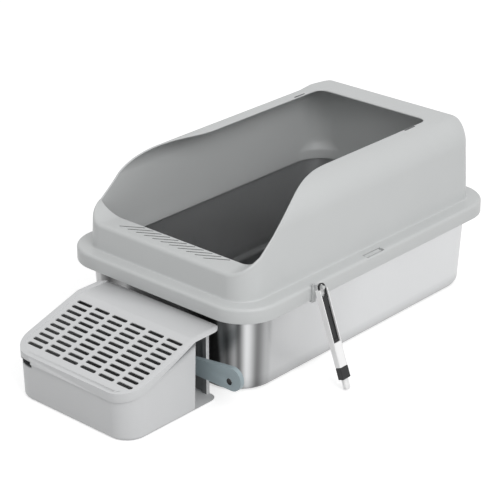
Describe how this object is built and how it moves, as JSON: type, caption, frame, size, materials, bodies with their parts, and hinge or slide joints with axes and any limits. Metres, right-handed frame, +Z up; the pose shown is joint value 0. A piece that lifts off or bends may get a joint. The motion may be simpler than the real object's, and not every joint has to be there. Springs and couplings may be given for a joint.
{
  "type": "litter box with step",
  "caption": "Cat litter box: a steel pan, a moulded enclosure with a low entry, a free-standing step with a slotted lid that catches litter, a scoop and a hanging groove brush.",
  "frame": {"origin": "centre of the steel pan's base, on the floor", "axes": "+X to the right seen from the entry, -Y towards the entry and the step, +Z up"},
  "size_m": [0.4865, 0.8466, 0.3005],
  "materials": {
    "steel": "drawn and satin brushed stainless steel",
    "grey_plastic": "moulded polypropylene with a fine satin texture",
    "white_plastic": "smooth moulded polypropylene",
    "black_plastic": "smooth moulded polypropylene",
    "bristle": "trimmed nylon bristles",
    "slate_plastic": "moulded nylon with a fine satin texture",
    "pin_steel": "drawn steel wire"
  },
  "bodies": {
    "pan": {"steel_tray": "steel"},
    "enclosure": {"enclosure": "grey_plastic", "tool_hook": "grey_plastic", "rim_clip_pin_right": "pin_steel", "rim_clip_pin_left": "pin_steel"},
    "clip_right": {"rim_clip_right": "grey_plastic"},
    "clip_left": {"rim_clip_left": "grey_plastic"},
    "brush_set": {"brush_sheath": "white_plastic"},
    "brush": {"brush_handle": "black_plastic", "brush_collar": "white_plastic", "brush_head": "black_plastic", "brush_bristles": "bristle"},
    "step": {"step_bin": "grey_plastic", "lid_hinge_pin_right": "pin_steel", "lid_hinge_pin_left": "pin_steel"},
    "step_lid": {"step_lid": "grey_plastic"},
    "scoop": {"litter_scoop": "slate_plastic"}
  },
  "joints": [
    {"name": "enclosure_lift", "type": "slide", "parent": "pan", "child": "enclosure", "axis": [0, 0, 1], "range_m": [0, 0.15]},
    {"name": "clip_right_release", "type": "hinge", "parent": "enclosure", "child": "clip_right", "pos_m": [0.19837, -0.0093, 0.1505], "axis": [0, -1, 0], "range_deg": [0, 12]},
    {"name": "clip_left_release", "type": "hinge", "parent": "enclosure", "child": "clip_left", "pos_m": [-0.19837, -0.0093, 0.1505], "axis": [0, 1, 0], "range_deg": [0, 12]},
    {"name": "brush_set_unhook", "type": "slide", "parent": "enclosure", "child": "brush_set", "axis": [1, 0, 0], "range_m": [0, 0.04]},
    {"name": "brush_pull_out", "type": "slide", "parent": "brush_set", "child": "brush", "axis": [0.9397, 0, 0.342], "range_m": [0, 0.04]},
    {"name": "step_slide", "type": "slide", "parent": "pan", "child": "step", "axis": [0, -1, 0], "range_m": [0, 0.2]},
    {"name": "step_lid_hinge", "type": "hinge", "parent": "step", "child": "step_lid", "pos_m": [0.022, -0.32456, 0.118], "axis": [-1, 0, 0], "range_deg": [0, 60]},
    {"name": "scoop_draw", "type": "slide", "parent": "step", "child": "scoop", "axis": [1, 0, 0], "range_m": [0, 0.27]}
  ]
}
